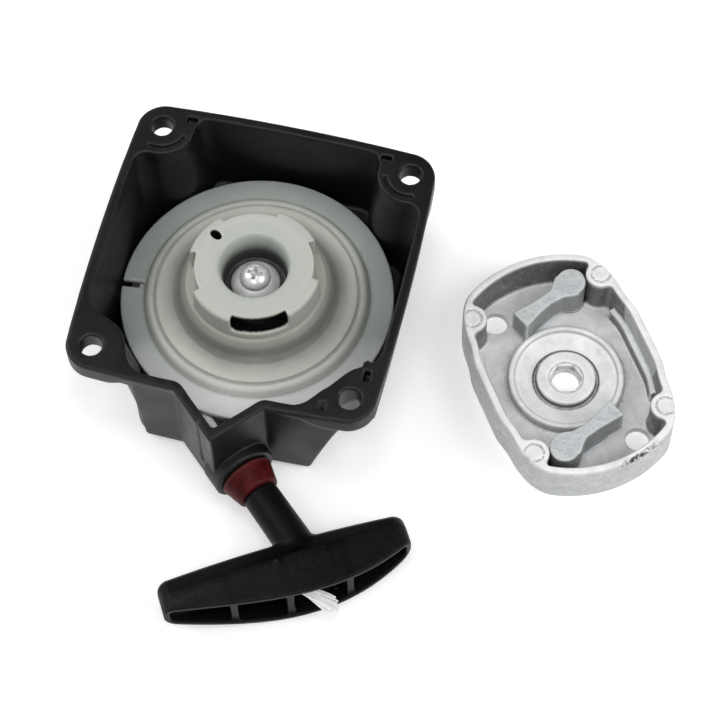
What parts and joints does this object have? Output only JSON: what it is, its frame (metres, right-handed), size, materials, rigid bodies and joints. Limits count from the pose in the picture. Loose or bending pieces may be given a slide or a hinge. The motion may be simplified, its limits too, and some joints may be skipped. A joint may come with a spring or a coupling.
{
  "type": "recoil starter",
  "caption": "Pull-cord recoil starter for a small engine: square flanged cover, nylon rope pulley, T-handle, and a cast pawl plate beside it.",
  "frame": {"origin": "on the pulley axis, on the outer face of the cover, which rests on the bench", "axes": "+Z along the pulley axis towards the engine side, X and Y square to the flange, -Y towards the rope nose"},
  "size_m": [0.1857, 0.1579, 0.038],
  "materials": {
    "black_plastic": "satin moulded black",
    "nylon": "translucent grey-white nylon",
    "zinc": "bright zinc plate",
    "spring_steel": "blued spring steel",
    "rope": "braided white nylon",
    "red_plastic": "dark red, slightly translucent",
    "cast_aluminium": "die-cast, tumbled",
    "sintered_steel": "grey zinc plate on sintered steel"
  },
  "bodies": {
    "cover": {"housing": "black_plastic", "retaining_screw": "zinc", "retaining_washer": "zinc", "rewind_spring": "spring_steel", "spring_cover_plate": "zinc", "rope_guide_ferrule": "red_plastic", "rope_run": "rope"},
    "rope_pulley": {"pulley": "nylon", "rope_coil": "rope", "rope_pulley_knot": "rope"},
    "grip": {"handle": "black_plastic", "rope_handle_knot": "rope", "rope_tail": "rope"},
    "plate": {"pawl_plate": "cast_aluminium", "pawl_pin_a": "zinc", "pawl_pin_b": "zinc", "pawl_spring_a": "spring_steel", "pawl_spring_b": "spring_steel"},
    "pawl_arm_a": {"pawl_a": "sintered_steel"},
    "pawl_arm_b": {"pawl_b": "sintered_steel"}
  },
  "joints": [
    {"name": "pulley_turn", "type": "hinge", "parent": "cover", "child": "rope_pulley", "pos_m": [0, 0, 0.01], "axis": [0, 0, 1], "range_deg": [0, 1114], "stiffness_Nm_per_rad": 0.006, "springref_deg": -687.55},
    {"name": "handle_pull", "type": "slide", "parent": "cover", "child": "grip", "axis": [0.7314, -0.682, 0], "range_m": [0, 0.7]},
    {"name": "plate_lift", "type": "slide", "parent": "cover", "child": "plate", "axis": [0, 0, 1], "range_m": [0, 0.06]},
    {"name": "pawl_a_swing", "type": "hinge", "parent": "plate", "child": "pawl_arm_a", "pos_m": [0.0948, 0.02706, 0.01], "axis": [0, 0, -1], "range_deg": [0, 20], "stiffness_Nm_per_rad": 0.005, "springref_deg": -17.19},
    {"name": "pawl_b_swing", "type": "hinge", "parent": "plate", "child": "pawl_arm_b", "pos_m": [0.1042, -0.03006, 0.01], "axis": [0, 0, -1], "range_deg": [0, 20], "stiffness_Nm_per_rad": 0.005, "springref_deg": -17.19}
  ],
  "couplings": [
    {"joint": "handle_pull", "follows": "pulley_turn", "m_per_rad": 0.036}
  ]
}
